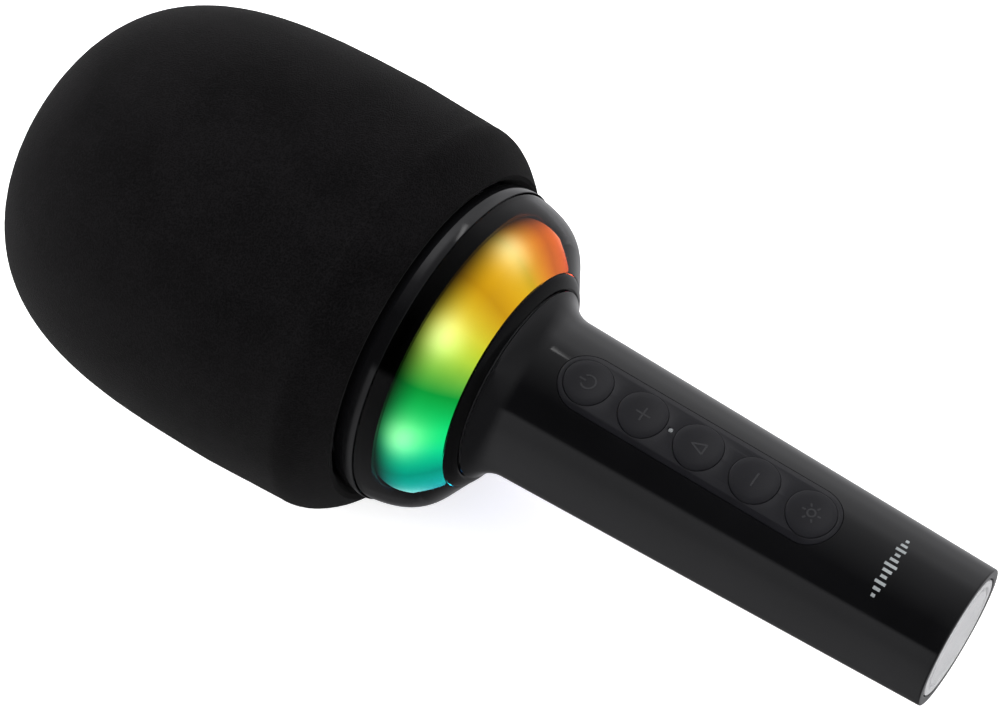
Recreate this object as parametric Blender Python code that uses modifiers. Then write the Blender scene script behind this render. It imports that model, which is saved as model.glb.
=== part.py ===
"""A karaoke microphone: foam windscreen, ring of coloured lights, five buttons, and what works inside.

Metres, +Z up. The microphone lies along X, its tail towards +X and its buttons facing +Z.
The world origin is the centre of the flat tail face.

Each piece is drawn on an upright microphone. Its height runs from the tail face, at 0, to the tip
of the windscreen, and the buttons face +X. The empty microphone_axis then lays every piece down.
Sizes here are in millimetres, and MM turns them into metres.
"""

import math

import bmesh
import bpy
from mathutils import Matrix

MM = 0.001
GAP = 0.3  # between pieces that rest on each other
SIDES = 32  # of a large turned piece
ROUND_SIDES = 24  # of a button, or of a large piece inside
SMALL_SIDES = 16  # of a small turned piece inside
SCREW_SIDES = 12

# Handle
TAIL_RADIUS = 17.0
NECK_RADIUS = 20.1
NECK_HEIGHT = 104.5
HANDLE_WALL = 2.0
FLARE_START = 107.3
FLARE_RADIUS = 8.4
FLARE_TURN = math.radians(60)
TAIL_SEAT_RADIUS = 15.9
TAIL_SEAT_DEPTH = 9.5

# Head
CONE_LOW = (24.4, 114.6)  # where the bowl meets the neck: radius, height
CONE_HIGH = (34.3, 120.7)
SHOULDER_BEND = (38.9, 123.6)
COVER_TOP = (40.2, 133.4)
COVER_INNER_EDGE = 28.1
COVER_WALL = 1.8
COVER_FOOT_WALL = 0.6  # at its inner edge
RIM_RADIUS = 27.8
DIFFUSER_FOOT = (28.4, 118.15)
COLLAR_RADIUS = 40.3
COLLAR_TOP = 139.4
DECK_LOW = 134.3
DECK_HIGH = 136.3
BASE_OUTER = 27.8
BASE_BORE = 24.0
SPIGOT_LOW = 105.6  # lower end of the head's stub inside the neck

# Windscreen and grille
FOAM_RADIUS = 50.9
FOAM_TIP = 245.0
FOAM_DOME_START = 170.3
FOAM_DOME_POWER = 3.2
FOAM_BORE = 38.6
GRILLE_RADIUS = 37.9
GRILLE_WALL = 1.2
GRILLE_DOME_START = 184.3
GRILLE_TIP = 234.0
GRILLE_DOME_POWER = 2.4
BAND_LOW = 179.0
BAND_HIGH = 184.0
RING_HIGH = 145.5

# Buttons, from the head end to the tail end
BUTTON_COUNT = 5
BUTTON_PITCH = 14.35
FIRST_BUTTON = 95.9
BUTTON_RADIUS = 5.7
BUTTON_LIP = 6.4
BUTTON_PROUD = 0.25
BUTTON_FLOOR = 12.0  # distance of a button's underside from the axis
PANEL_RADIUS = 7.2
PANEL_LENGTH = 71.0
PANEL_LIP = 1.3
PANEL_CENTRE = 67.2
PANEL_FLOOR = 12.9
STATUS_HEIGHT = FIRST_BUTTON - 1.5 * BUTTON_PITCH
PIPE_RADIUS = 0.45

# Electronics
BOARD_LOW = 7.0
BOARD_HIGH = 8.6
LED_COUNT = 8
LED_HEIGHT = 125.5
LED_FACE = 29.0
BATTERY_RADIUS = 9.2
BATTERY_OFFSET = -3.6
BATTERY_LOW = 28.5
BATTERY_HIGH = 92.6
BOARD_END = 100.5
CHASSIS_END = 99.5
PORT_HEIGHT = 15.0
LEAD_ANGLE = 35  # the loudspeaker's lead, degrees round from the buttons

# Fasteners
BRIDGE_SCREW_CIRCLE = 26.0
TAIL_SCREW_OFFSET = 9.5


def clear_scene():
    for piece in list(bpy.data.objects):
        bpy.data.objects.remove(piece, do_unlink=True)


def new_collection(name):
    collection = bpy.data.collections.new(name)
    bpy.context.scene.collection.children.link(collection)
    return collection


def finish(name, colour, roughness, metallic=0.0, clear=0.0, glow=0.0):
    """A Principled material. clear is its transmission, and glow its emission strength."""
    material = bpy.data.materials.new(name)
    material.use_nodes = True
    shader = material.node_tree.nodes["Principled BSDF"]
    shader.inputs["Base Color"].default_value = (*colour, 1.0)
    shader.inputs["Roughness"].default_value = roughness
    shader.inputs["Metallic"].default_value = metallic
    shader.inputs["Transmission Weight"].default_value = clear
    shader.inputs["Emission Color"].default_value = (*colour, 1.0)
    shader.inputs["Emission Strength"].default_value = glow
    material.diffuse_color = (*colour, 1.0)
    return material


def add(name, data, material):
    """Puts a mesh or curve on the microphone's axis: as a piece, or as a cutter if it has no material."""
    piece = bpy.data.objects.new(name, data)
    piece.parent = axis
    if material is None:
        cutters.objects.link(piece)
        piece.hide_render = True
        piece.display_type = "WIRE"
    else:
        microphone.objects.link(piece)
        data.materials.append(material)
    return piece


def mesh_of(name, shape):
    mesh = bpy.data.meshes.new(name)
    shape.to_mesh(mesh)
    shape.free()
    return mesh


def turned(name, outline, material=None, sides=SIDES):
    """Turns an outline of (radius, height) points, which closes on the axis or on itself."""
    mesh = bpy.data.meshes.new(name)
    count = len(outline)
    edges = [(i, i + 1) for i in range(count - 1)]
    if outline[0][0] > 0:
        edges.append((count - 1, 0))
    mesh.from_pydata([(radius * MM, 0.0, height * MM) for radius, height in outline], edges, [])
    piece = add(name, mesh, material)
    screw = piece.modifiers.new("Turn", "SCREW")
    screw.steps = sides
    screw.render_steps = sides
    screw.use_merge_vertices = True
    screw.merge_threshold = 0.00001
    return piece


def rod(name, radius, length, place, material=None, along="Z", sides=ROUND_SIDES):
    """A round bar. place is the centre of its lower end, which is the object's origin."""
    shape = bmesh.new()
    lift = Matrix.Translation((0.0, 0.0, length / 2 * MM))
    if along == "X":
        lift = Matrix.Rotation(math.radians(90), 4, "Y") @ lift
    bmesh.ops.create_cone(
        shape,
        cap_ends=True,
        segments=sides,
        radius1=radius * MM,
        radius2=radius * MM,
        depth=length * MM,
        matrix=lift,
    )
    piece = add(name, mesh_of(name, shape), material)
    piece.location = [value * MM for value in place]
    return piece


def block(name, low, high, material=None):
    """A box between two corners. Its origin is its centre."""
    shape = bmesh.new()
    size = [(b - a) * MM for a, b in zip(low, high)]
    bmesh.ops.create_cube(shape, size=1.0, matrix=Matrix.Diagonal((*size, 1.0)))
    piece = add(name, mesh_of(name, shape), material)
    piece.location = [(a + b) / 2 * MM for a, b in zip(low, high)]
    return piece


def pill(name, radius, length, low, high, height, material=None, lengthwise="Z", sides=ROUND_SIDES):
    """A bar along X with a section of two half circles, length long over all along Y or Z."""
    shape = bmesh.new()
    turn = Matrix.Rotation(math.radians(90), 4, "Y") @ Matrix.Rotation(math.pi / sides, 4, "Z")
    bmesh.ops.create_cone(
        shape,
        cap_ends=True,
        segments=sides,
        radius1=radius * MM,
        radius2=radius * MM,
        depth=(high - low) * MM,
        matrix=turn,
    )
    along = 2 if lengthwise == "Z" else 1
    stretch = (length / 2 - radius) * MM
    for vertex in shape.verts:
        vertex.co[along] += math.copysign(stretch, vertex.co[along])
    piece = add(name, mesh_of(name, shape), material)
    piece.location = ((low + high) / 2 * MM, 0.0, height * MM)
    return piece


def combine(piece, operation, other):
    """operation is DIFFERENCE, UNION or INTERSECT."""
    boolean = piece.modifiers.new(f"{operation.title()} {other.name}", "BOOLEAN")
    boolean.operation = operation
    boolean.object = other


def bezier(start, bend, end, steps):
    """Points of a quadratic curve, both ends included."""
    points = []
    for i in range(steps + 1):
        t = i / steps
        points.append(
            tuple((1 - t) ** 2 * a + 2 * t * (1 - t) * b + t * t * c for a, b, c in zip(start, bend, end))
        )
    return points


def dome(radius, start, tip, power, steps):
    """A superellipse's quarter, from the tip on the axis down to the full radius at height start."""
    points = [(0.0, tip)]
    for i in range(1, steps):
        angle = math.radians(90) * i / steps
        across = math.sin(angle) ** (2 / power)
        up = math.cos(angle) ** (2 / power)
        points.append((radius * across, start + (tip - start) * up))
    points.append((radius, start))
    return points


def offset(path, distance):
    """The path moved inwards, where the path runs down an outer side."""
    normals = []
    for (r0, z0), (r1, z1) in zip(path, path[1:]):
        length = math.hypot(r1 - r0, z1 - z0)
        normals.append(((z1 - z0) / length, (r0 - r1) / length))
    moved = []
    for i, (radius, height) in enumerate(path):
        before = normals[max(i - 1, 0)]
        after = normals[min(i, len(normals) - 1)]
        across = before[0] + after[0]
        up = before[1] + after[1]
        scale = 2 * distance / (across * across + up * up)
        moved.append((max(radius + across * scale, 0.0) if radius > 0 else 0.0, height + up * scale))
    return moved


def shell(path, wall):
    """The outline of a wall whose outer side is path."""
    return path + offset(path, wall)[::-1]


def ring(inner, outer, low, high):
    return [(outer, high), (outer, low), (inner, low), (inner, high)]


def handle_radius(height):
    return TAIL_RADIUS + (NECK_RADIUS - TAIL_RADIUS) * height / NECK_HEIGHT


def cone_height(radius):
    """Height of the bowl's conical underside at this radius."""
    rise = (CONE_HIGH[1] - CONE_LOW[1]) / (CONE_HIGH[0] - CONE_LOW[0])
    return CONE_LOW[1] + rise * (radius - CONE_LOW[0])


def at_angle(radius, degrees):
    angle = math.radians(degrees)
    return radius * math.cos(angle), radius * math.sin(angle)


def button_heights():
    return [FIRST_BUTTON - BUTTON_PITCH * i for i in range(BUTTON_COUNT)]


# Windscreen and grille


def make_windscreen():
    side = bezier((49.9, 150.0), (50.2, 143.9), (42.5, 137.5), 4)
    outer = dome(FOAM_RADIUS, FOAM_DOME_START, FOAM_TIP, FOAM_DOME_POWER, 9) + side
    seat = [(40.9, 138.1), (39.7, 140.4), (FOAM_BORE, 142.2)]
    bore = dome(FOAM_BORE, 182.0, GRILLE_TIP + 0.8, GRILLE_DOME_POWER, 7)[::-1]
    material = finish("windscreen_foam", (0.012, 0.011, 0.012), 0.95)
    turned("foam_windscreen", outer + seat + bore, material)


def make_grille():
    mesh = finish("grille_wire", (0.05, 0.05, 0.055), 0.4, metallic=0.9)
    metal = finish("grille_ring_metal", (0.35, 0.35, 0.37), 0.3, metallic=1.0)
    liner = finish("liner_foam", (0.03, 0.03, 0.03), 0.95)
    cap = dome(GRILLE_RADIUS, GRILLE_DOME_START, GRILLE_TIP, GRILLE_DOME_POWER, 7)
    turned("grille_dome", shell(cap, GRILLE_WALL), mesh)
    inner = GRILLE_RADIUS - GRILLE_WALL
    turned("grille_band", ring(inner, GRILLE_RADIUS + 0.3, BAND_LOW, BAND_HIGH), metal)
    side = ring(inner, GRILLE_RADIUS, RING_HIGH + GAP, BAND_LOW - GAP)
    turned("grille_side", side, mesh)
    outline = [
        (GRILLE_RADIUS + 0.3, RING_HIGH),
        (GRILLE_RADIUS + 0.3, COLLAR_TOP + GAP),
        (37.0, COLLAR_TOP + GAP),
        (37.0, DECK_HIGH + GAP),
        (35.4, DECK_HIGH + GAP),
        (35.4, RING_HIGH),
    ]
    turned("grille_ring", outline, metal)
    lining = dome(inner - 0.4, 182.0, GRILLE_TIP - 2.2, GRILLE_DOME_POWER, 5) + [(inner - 0.4, 146.0)]
    turned("grille_liner", shell(lining, 2.4), liner, ROUND_SIDES)


def make_capsule():
    rubber = finish("capsule_rubber", (0.03, 0.03, 0.03), 0.7)
    brass = finish("capsule_brass", (0.75, 0.55, 0.25), 0.35, metallic=1.0)
    plastic = finish("bridge_plastic", (0.06, 0.06, 0.06), 0.5)
    capsule = [(0.0, 221.0), (8.5, 221.0), (10.4, 219.2), (10.4, 199.2), (0.0, 199.2)]
    turned("mic_capsule", capsule, brass, SMALL_SIDES)
    cup = [
        (13.0, 214.0),
        (13.0, 197.5),
        (11.5, 196.0),
        (2.3, 196.0),
        (2.3, 198.8),
        (10.8, 198.8),
        (10.8, 214.0),
    ]
    turned("capsule_cup", cup, rubber, SMALL_SIDES)
    turned("capsule_post", ring(2.3, 4.0, 139.9, 195.7), plastic, 16)

    low = DECK_HIGH + GAP
    hub = turned("capsule_bridge", ring(2.3, 7.0, low, 139.6), plastic, SMALL_SIDES)
    steel = finish("bridge_screw_steel", (0.5, 0.5, 0.52), 0.3, metallic=1.0)
    for i in range(3):
        degrees = 120 * i
        arm = block(f"bridge_arm_{i + 1}", (5.0, -3.0, low), (28.6, 3.0, low + 2.4))
        x, y = at_angle((5.0 + 28.6) / 2, degrees)
        arm.location = (x * MM, y * MM, (low + 1.2) * MM)
        arm.rotation_euler = (0.0, 0.0, math.radians(degrees))
        combine(hub, "UNION", arm)
    for i in range(3):
        x, y = at_angle(BRIDGE_SCREW_CIRCLE, 120 * i)
        combine(hub, "DIFFERENCE", rod(f"arm_hole_{i + 1}", 1.3, 8.0, (x, y, 134.0), sides=SCREW_SIDES))
        shank = 0.95
        outline = [
            (0.0, 140.5),
            (1.6, 140.5),
            (2.2, 139.9),
            (2.2, 139.3),
            (shank, 139.3),
            (shank, 127.6),
            (0.0, 127.0),
        ]
        screw = turned(f"bridge_screw_{i + 1}", outline, steel, SCREW_SIDES)
        screw.location = (x * MM, y * MM, 0.0)


# Collar and ring of lights


def make_collar():
    gloss = finish("collar_gloss_black", (0.01, 0.01, 0.011), 0.12)
    outline = [
        (38.4, COLLAR_TOP),
        (39.6, 138.7),
        (COLLAR_RADIUS - 0.05, 137.2),
        (COLLAR_RADIUS, 135.5),
        (COLLAR_RADIUS - 0.05, COVER_TOP[1] + GAP),
        (37.6, COVER_TOP[1] + GAP),
        (37.6, DECK_LOW),
        (22.6, DECK_LOW),
        (22.6, DECK_HIGH),
        (37.3, DECK_HIGH),
        (37.3, COLLAR_TOP),
    ]
    collar = turned("upper_collar", outline, gloss)
    for i in range(3):
        x, y = at_angle(BRIDGE_SCREW_CIRCLE, 120 * i)
        combine(collar, "DIFFERENCE", rod(f"deck_hole_{i + 1}", 1.3, 6.0, (x, y, 132.0), sides=SCREW_SIDES))

    rim = [
        (RIM_RADIUS, 118.6),
        (RIM_RADIUS, cone_height(RIM_RADIUS)),
        (25.1, cone_height(25.1)),
        (24.1, cone_height(24.4) + GAP),
        (24.1, 118.6),
    ]
    turned("rim_ring", rim, finish("rim_gloss_black", (0.01, 0.01, 0.011), 0.15))


def make_light_ring():
    shoulder = bezier(COVER_TOP, SHOULDER_BEND, CONE_HIGH, 6)
    foot = cone_height(COVER_INNER_EDGE)
    cover = shoulder + [(COVER_INNER_EDGE, foot)]
    inside = offset(cover, COVER_WALL)
    inside[-1] = (COVER_INNER_EDGE, foot + COVER_FOOT_WALL)
    smoke = finish("smoked_clear_plastic", (0.05, 0.05, 0.055), 0.05, clear=0.85)
    turned("light_cover", cover + inside[::-1], smoke)

    milk = finish("milky_diffuser", (0.85, 0.85, 0.85), 0.5, clear=0.4)
    upper = bezier((33.4, 133.5), (36.0, 129.2), (33.9, 125.0), 3)
    lower = bezier((33.9, 125.0), (33.0, 122.6), DIFFUSER_FOOT, 3)
    outer = upper + lower[1:]
    inner = offset(outer, 1.2)
    inner[-1] = (DIFFUSER_FOOT[0], DIFFUSER_FOOT[1] + 1.0)
    turned("light_diffuser", outer + inner[::-1], milk)

    flex = finish("led_strip_flex", (0.8, 0.8, 0.78), 0.6)
    strip = ring(BASE_OUTER + GAP, LED_FACE - GAP, 121.2, 130.5)
    turned("led_strip", strip, flex, ROUND_SIDES)
    lens = finish("led_lens", (1.0, 0.95, 0.85), 0.3, glow=1.0)
    for i in range(LED_COUNT):
        degrees = 67.5 - 360 / LED_COUNT * i
        low = (LED_FACE, -2.5, LED_HEIGHT - 2)
        high = (LED_FACE + 1, 2.5, LED_HEIGHT + 2)
        led = block(f"led_{i + 1}", low, high, lens)
        x, y = at_angle(LED_FACE + 0.5, degrees)
        led.location = (x * MM, y * MM, LED_HEIGHT * MM)
        led.rotation_euler = (0.0, 0.0, math.radians(degrees))


# Loudspeaker


def make_head_base():
    outline = [
        (BASE_OUTER, DECK_LOW - GAP),
        (BASE_OUTER, 118.9),
        (23.8, 118.9),
        (23.8, 115.0),
        (21.9, 115.0),
        (17.75, 110.4),
        (17.75, SPIGOT_LOW),
        (15.9, SPIGOT_LOW),
        (15.9, 115.5),
        (20.9, 120.8),
        (22.9, 120.8),
        (22.9, 130.3),
        (BASE_BORE, 130.3),
        (BASE_BORE, DECK_LOW - GAP),
    ]
    base = turned("head_base", outline, finish("base_black_plastic", (0.03, 0.03, 0.03), 0.5), ROUND_SIDES)
    for i in range(3):
        x, y = at_angle(BRIDGE_SCREW_CIRCLE, 120 * i)
        combine(base, "DIFFERENCE", rod(f"boss_hole_{i + 1}", 1.2, 12.0, (x, y, 126.4), sides=SCREW_SIDES))


def make_speaker():
    frame_outline = [
        (23.6, 132.2),
        (23.6, 130.6),
        (21.4, 130.6),
        (14.2, 121.4),
        (7.0, 121.4),
        (7.0, 122.4),
        (13.6, 122.4),
        (20.5, 131.2),
        (20.5, 132.2),
    ]
    steel = finish("speaker_frame_steel", (0.25, 0.25, 0.26), 0.45, metallic=1.0)
    frame = turned("speaker_frame", frame_outline, steel, SMALL_SIDES)
    for i in range(2):
        window = rod(f"frame_window_{i + 1}", 2.6, 60.0, (-30.0, 0.0, 126.4), along="X", sides=SCREW_SIDES)
        if i == 1:
            window.location = (0.0, -30.0 * MM, 126.4 * MM)
            window.rotation_euler = (0.0, 0.0, math.radians(90))
        combine(frame, "DIFFERENCE", window)

    magnet = [(0.0, 125.6), (4.4, 125.6), (4.4, 121.1), (14.0, 121.1), (14.0, 111.6), (0.0, 111.6)]
    turned("speaker_magnet", magnet, finish("magnet_ferrite", (0.1, 0.1, 0.1), 0.6), SMALL_SIDES)
    gasket = finish("gasket_foam", (0.04, 0.04, 0.04), 0.9)
    turned("speaker_gasket", ring(22.7, 23.6, 133.6, DECK_LOW - GAP), gasket, SMALL_SIDES)

    surround = [
        (23.6, 133.3),
        (23.6, 132.5),
        (22.0, 132.5),
        (21.3, 133.4),
        (20.7, 133.4),
        (20.1, 132.7),
        (20.1, 133.6),
        (20.7, 134.2),
        (21.4, 134.2),
        (22.1, 133.3),
    ]
    turned("speaker_surround", surround, finish("surround_rubber", (0.02, 0.02, 0.02), 0.6), SMALL_SIDES)


def make_speaker_cone():
    """The cone, dust cap and voice coil, which move together."""
    paper = finish("cone_paper", (0.08, 0.08, 0.085), 0.8)
    cone = [(19.8, 133.3), (19.8, 132.5), (6.2, 126.6), (6.2, 127.4)]
    turned("speaker_cone", cone, paper, SMALL_SIDES)
    cap = [(0.0, 131.0), (3.5, 130.5), (6.2, 129.3), (7.0, 128.6), (0.0, 128.6)]
    turned("dust_cap", cap, finish("dust_cap_plastic", (0.05, 0.05, 0.05), 0.3), SMALL_SIDES)
    coil = finish("coil_copper", (0.72, 0.35, 0.2), 0.35, metallic=1.0)
    turned("voice_coil", ring(5.0, 5.9, 122.7, 128.2), coil, SMALL_SIDES)


# Handle


def make_handle():
    flare = []
    for i in range(6):
        turn = FLARE_TURN * (1 - i / 5)
        radius = handle_radius(FLARE_START) + FLARE_RADIUS * (1 - math.cos(turn))
        flare.append((radius, FLARE_START + FLARE_RADIUS * math.sin(turn)))
    top = flare[0][1]
    outline = flare + [
        (handle_radius(0.7), 0.7),
        (TAIL_RADIUS - 0.4, 0.0),
        (TAIL_SEAT_RADIUS, 0.0),
        (TAIL_SEAT_RADIUS, TAIL_SEAT_DEPTH),
        (handle_radius(TAIL_SEAT_DEPTH) - HANDLE_WALL, TAIL_SEAT_DEPTH),
        (NECK_RADIUS - HANDLE_WALL, NECK_HEIGHT),
        (NECK_RADIUS - HANDLE_WALL, 110.0),
        (22.3, top),
    ]
    gloss = finish("handle_gloss_black", (0.012, 0.012, 0.014), 0.1)
    tube = turned("handle_tube", outline, gloss)
    slot_radius = PANEL_RADIUS + GAP
    slot = pill("panel_slot", slot_radius, PANEL_LENGTH + 2 * GAP, 5.0, 26.0, PANEL_CENTRE)
    combine(tube, "DIFFERENCE", slot)
    mouth = pill("port_slot", 1.95, 9.6, -22.0, -8.0, PORT_HEIGHT, lengthwise="Y")
    combine(tube, "DIFFERENCE", mouth)


def make_button_panel():
    """The pill-shaped panel: flush with the handle, flat beneath, with a lip behind the handle's wall."""
    low, high = 20.0, 108.0
    skin = [(0.0, high), (handle_radius(high), high), (handle_radius(low), low), (0.0, low)]
    bore = HANDLE_WALL + GAP
    inside = [(max(radius - bore, 0.0), height) for radius, height in skin]
    soft = finish("panel_soft_black", (0.02, 0.02, 0.022), 0.35)
    panel = pill("button_panel", PANEL_RADIUS, PANEL_LENGTH, PANEL_FLOOR, 26.0, PANEL_CENTRE, soft)
    combine(panel, "INTERSECT", turned("handle_skin", skin))
    lip_length = PANEL_LENGTH + 2 * PANEL_LIP
    lip = pill("panel_lip", PANEL_RADIUS + PANEL_LIP, lip_length, PANEL_FLOOR, 24.0, PANEL_CENTRE)
    combine(lip, "INTERSECT", turned("handle_bore", inside))
    combine(panel, "UNION", lip)
    for i, height in enumerate(button_heights()):
        hole = rod(f"button_hole_{i + 1}", BUTTON_RADIUS + GAP, 20.0, (8.0, 0.0, height), along="X")
        combine(panel, "DIFFERENCE", hole)
    place = (8.0, 0.0, STATUS_HEIGHT)
    pipe_hole = rod("pipe_hole", PIPE_RADIUS + 0.25, 20.0, place, along="X", sides=SCREW_SIDES)
    combine(panel, "DIFFERENCE", pipe_hole)


def make_buttons():
    low, high = 20.0, 108.0
    reach = BUTTON_PROUD
    skin = [(0.0, high), (handle_radius(high) + reach, high), (handle_radius(low) + reach, low), (0.0, low)]
    top = turned("button_top", skin)
    rubber = finish("button_rubber", (0.022, 0.022, 0.024), 0.4)
    for i, height in enumerate(button_heights()):
        place = (BUTTON_FLOOR, 0.0, height)
        button = rod(f"button_{i + 1}", BUTTON_RADIUS, 14.0, place, rubber, along="X")
        combine(button, "INTERSECT", top)
        lip = rod(f"button_lip_{i + 1}", BUTTON_LIP, 0.6, place, along="X")
        combine(button, "UNION", lip)


def make_switches():
    housing = finish("switch_housing", (0.15, 0.15, 0.16), 0.4)
    floor = BOARD_HIGH + GAP
    for i, height in enumerate(button_heights()):
        low = (floor, -3.0, height - 3)
        high = (floor + 1.8, 3.0, height + 3)
        switch = block(f"button_switch_{i + 1}", low, high, housing)
        place = (floor + 1.0, 0.0, height)
        plunger = rod(f"switch_plunger_{i + 1}", 1.6, 1.5, place, along="X", sides=SCREW_SIDES)
        combine(switch, "UNION", plunger)


def make_electronics():
    green = finish("board_green", (0.02, 0.16, 0.07), 0.5)
    block("main_board", (BOARD_LOW, -10.5, 24.0), (BOARD_HIGH, 10.5, BOARD_END), green)
    floor = BOARD_HIGH + GAP
    black = finish("chip_black", (0.02, 0.02, 0.02), 0.5)
    block("audio_chip", (floor, -2.5, 57.5), (floor + 0.9, 2.5, 62.5), black)
    tin = finish("module_tin", (0.6, 0.6, 0.6), 0.35, metallic=1.0)
    block("radio_module", (floor, -6.0, 25.5), (floor + 1.8, 6.0, 33.0), tin)

    led = finish("status_led_lens", (0.9, 0.9, 0.8), 0.3, glow=0.5)
    height = STATUS_HEIGHT
    block("status_led", (floor, -0.4, height - 0.8), (floor + 0.8, 0.4, height + 0.8), led)
    clear = finish("pipe_clear", (0.9, 0.9, 0.9), 0.1, clear=0.9)
    length = handle_radius(height) - floor - 1.1
    rod("status_light_pipe", PIPE_RADIUS, length, (floor + 1.1, 0.0, height), clear, "X", SCREW_SIDES)

    wire = bpy.data.curves.new("speaker_lead", "CURVE")
    wire.dimensions = "3D"
    wire.bevel_depth = 0.5 * MM
    wire.bevel_resolution = 1
    wire.use_fill_caps = True
    spline = wire.splines.new("POLY")
    lift = bezier((12.0, 95.0), (12.0, 103.0), (13.4, 107.0), 4)
    route = lift + bezier((13.4, 107.0), (14.95, 110.5), (14.95, 114.0), 4)[1:] + [(15.1, 119.6)]
    spline.points.add(len(route) - 1)
    for point, (radius, height) in zip(spline.points, route):
        x, y = at_angle(radius, LEAD_ANGLE)
        point.co = (x * MM, y * MM, height * MM, 1.0)
    add("speaker_lead", wire, finish("lead_red", (0.5, 0.02, 0.02), 0.5))


def make_chassis():
    grey = finish("chassis_plastic", (0.1, 0.1, 0.105), 0.55)
    outline = [(0.0, CHASSIS_END), (14.6, CHASSIS_END), (14.6, 22.0), (0.0, 22.0)]
    chassis = turned("chassis", outline, grey, SMALL_SIDES)
    combine(chassis, "DIFFERENCE", block("above_rails", (BOARD_LOW - GAP, -20, 10), (20, 20, 110)))
    bay_radius = BATTERY_RADIUS + 0.4
    bay = rod("battery_bay", bay_radius, 66.0, (BATTERY_OFFSET, 0.0, 28.0))
    combine(chassis, "DIFFERENCE", bay)
    mouth = block("bay_mouth", (BATTERY_OFFSET, -bay_radius, 28.0), (20.0, bay_radius, 94.0))
    combine(chassis, "DIFFERENCE", mouth)

    cell = [
        (0.0, BATTERY_HIGH + 0.9),
        (2.8, BATTERY_HIGH + 0.9),
        (2.8, BATTERY_HIGH),
        (BATTERY_RADIUS - 0.6, BATTERY_HIGH),
        (BATTERY_RADIUS, BATTERY_HIGH - 0.6),
        (BATTERY_RADIUS, BATTERY_LOW + 0.6),
        (BATTERY_RADIUS - 0.6, BATTERY_LOW),
        (0.0, BATTERY_LOW),
    ]
    battery = turned("battery", cell, finish("battery_sleeve", (0.05, 0.2, 0.6), 0.35), SMALL_SIDES)
    battery.location = (BATTERY_OFFSET * MM, 0.0, 0.0)

    for side in (-1, 1):
        place = (0.0, side * TAIL_SCREW_OFFSET, 20.0)
        hole = rod(f"pilot_hole_{'left' if side < 0 else 'right'}", 1.25, 7.6, place, sides=SCREW_SIDES)
        combine(chassis, "DIFFERENCE", hole)


def make_charging_port():
    steel = finish("port_steel", (0.6, 0.6, 0.62), 0.3, metallic=1.0)
    port = pill("charging_port", 1.65, 9.0, -16.9, -9.6, PORT_HEIGHT, steel, lengthwise="Y", sides=16)
    hollow = pill("port_hollow", 1.3, 8.3, -20.0, -10.6, PORT_HEIGHT, lengthwise="Y", sides=16)
    combine(port, "DIFFERENCE", hollow)
    low = (-16.2, -3.2, PORT_HEIGHT - 0.35)
    high = (-10.0, 3.2, PORT_HEIGHT + 0.35)
    combine(port, "UNION", block("port_tongue", low, high))
    green = finish("charging_board_green", (0.02, 0.16, 0.07), 0.5)
    block("charging_board", (-13.0, -7.5, 11.8), (6.0, 7.5, 13.0), green)


def make_tail():
    plastic = finish("plug_black_plastic", (0.03, 0.03, 0.03), 0.5)
    outline = [(0.0, 5.8), (13.6, 5.8), (13.6, 9.2), (15.6, 9.2), (15.6, 2.3), (0.0, 2.3)]
    plug = turned("tail_plug", outline, plastic, ROUND_SIDES)
    silver = finish("tail_plate_silver", (0.72, 0.72, 0.73), 0.4, metallic=0.6)
    plate = [(0.0, 1.9), (15.5, 1.9), (15.5, 0.25), (15.25, 0.0), (0.0, 0.0)]
    turned("tail_plate", plate, silver)
    steel = finish("tail_screw_steel", (0.5, 0.5, 0.52), 0.3, metallic=1.0)
    for i, side in enumerate((-1, 1)):
        y = side * TAIL_SCREW_OFFSET
        combine(plug, "DIFFERENCE", rod(f"head_pocket_{i + 1}", 2.8, 3.2, (0, y, 1.0), sides=SCREW_SIDES))
        combine(plug, "DIFFERENCE", rod(f"plug_hole_{i + 1}", 1.4, 8.0, (0, y, 1.0), sides=SCREW_SIDES))
        shank = 1.0
        outline = [(0.0, 26.6), (shank, 26.0), (shank, 3.9), (2.4, 3.9), (2.4, 3.2), (1.8, 2.6), (0.0, 2.6)]
        screw = turned(f"tail_screw_{i + 1}", outline, steel, SCREW_SIDES)
        screw.location = (0.0, y * MM, 0.0)


def smooth_round_faces():
    """Replaces each piece's modifiers by the mesh they make, shaded smooth up to its sharp edges."""
    bpy.context.view_layer.update()
    graph = bpy.context.evaluated_depsgraph_get()
    made = {
        piece: bpy.data.meshes.new_from_object(piece.evaluated_get(graph))
        for piece in microphone.objects
        if piece.type == "MESH"
    }
    for piece, mesh in made.items():
        piece.modifiers.clear()
        mesh.name = piece.name
        piece.data = mesh
        mesh.shade_smooth()
        mesh.set_sharp_from_angle(angle=math.radians(35))


clear_scene()
microphone = new_collection("karaoke_microphone")
cutters = new_collection("cutters")
cutters.hide_render = True
axis = bpy.data.objects.new("microphone_axis", None)
axis.rotation_euler = (0.0, math.radians(-90), 0.0)
microphone.objects.link(axis)

make_windscreen()
make_grille()
make_capsule()
make_collar()
make_light_ring()
make_head_base()
make_speaker()
make_speaker_cone()
make_handle()
make_button_panel()
make_buttons()
make_switches()
make_electronics()
make_chassis()
make_charging_port()
make_tail()
smooth_round_faces()
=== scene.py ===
"""The looks of a karaoke microphone: foam windscreen, ring of coloured lights and gloss black handle.

Every turned piece is drawn on an upright microphone, in millimetres, as (radius, height) points with
height 0 at the tail face. laid() turns a point into the frame's metres, where the microphone lies with
its head towards -X and its buttons facing +Z. Angles run from the buttons (+Z) towards +Y.
"""

import math

import bmesh
import bpy
from mathutils import Matrix, Vector, noise


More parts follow.
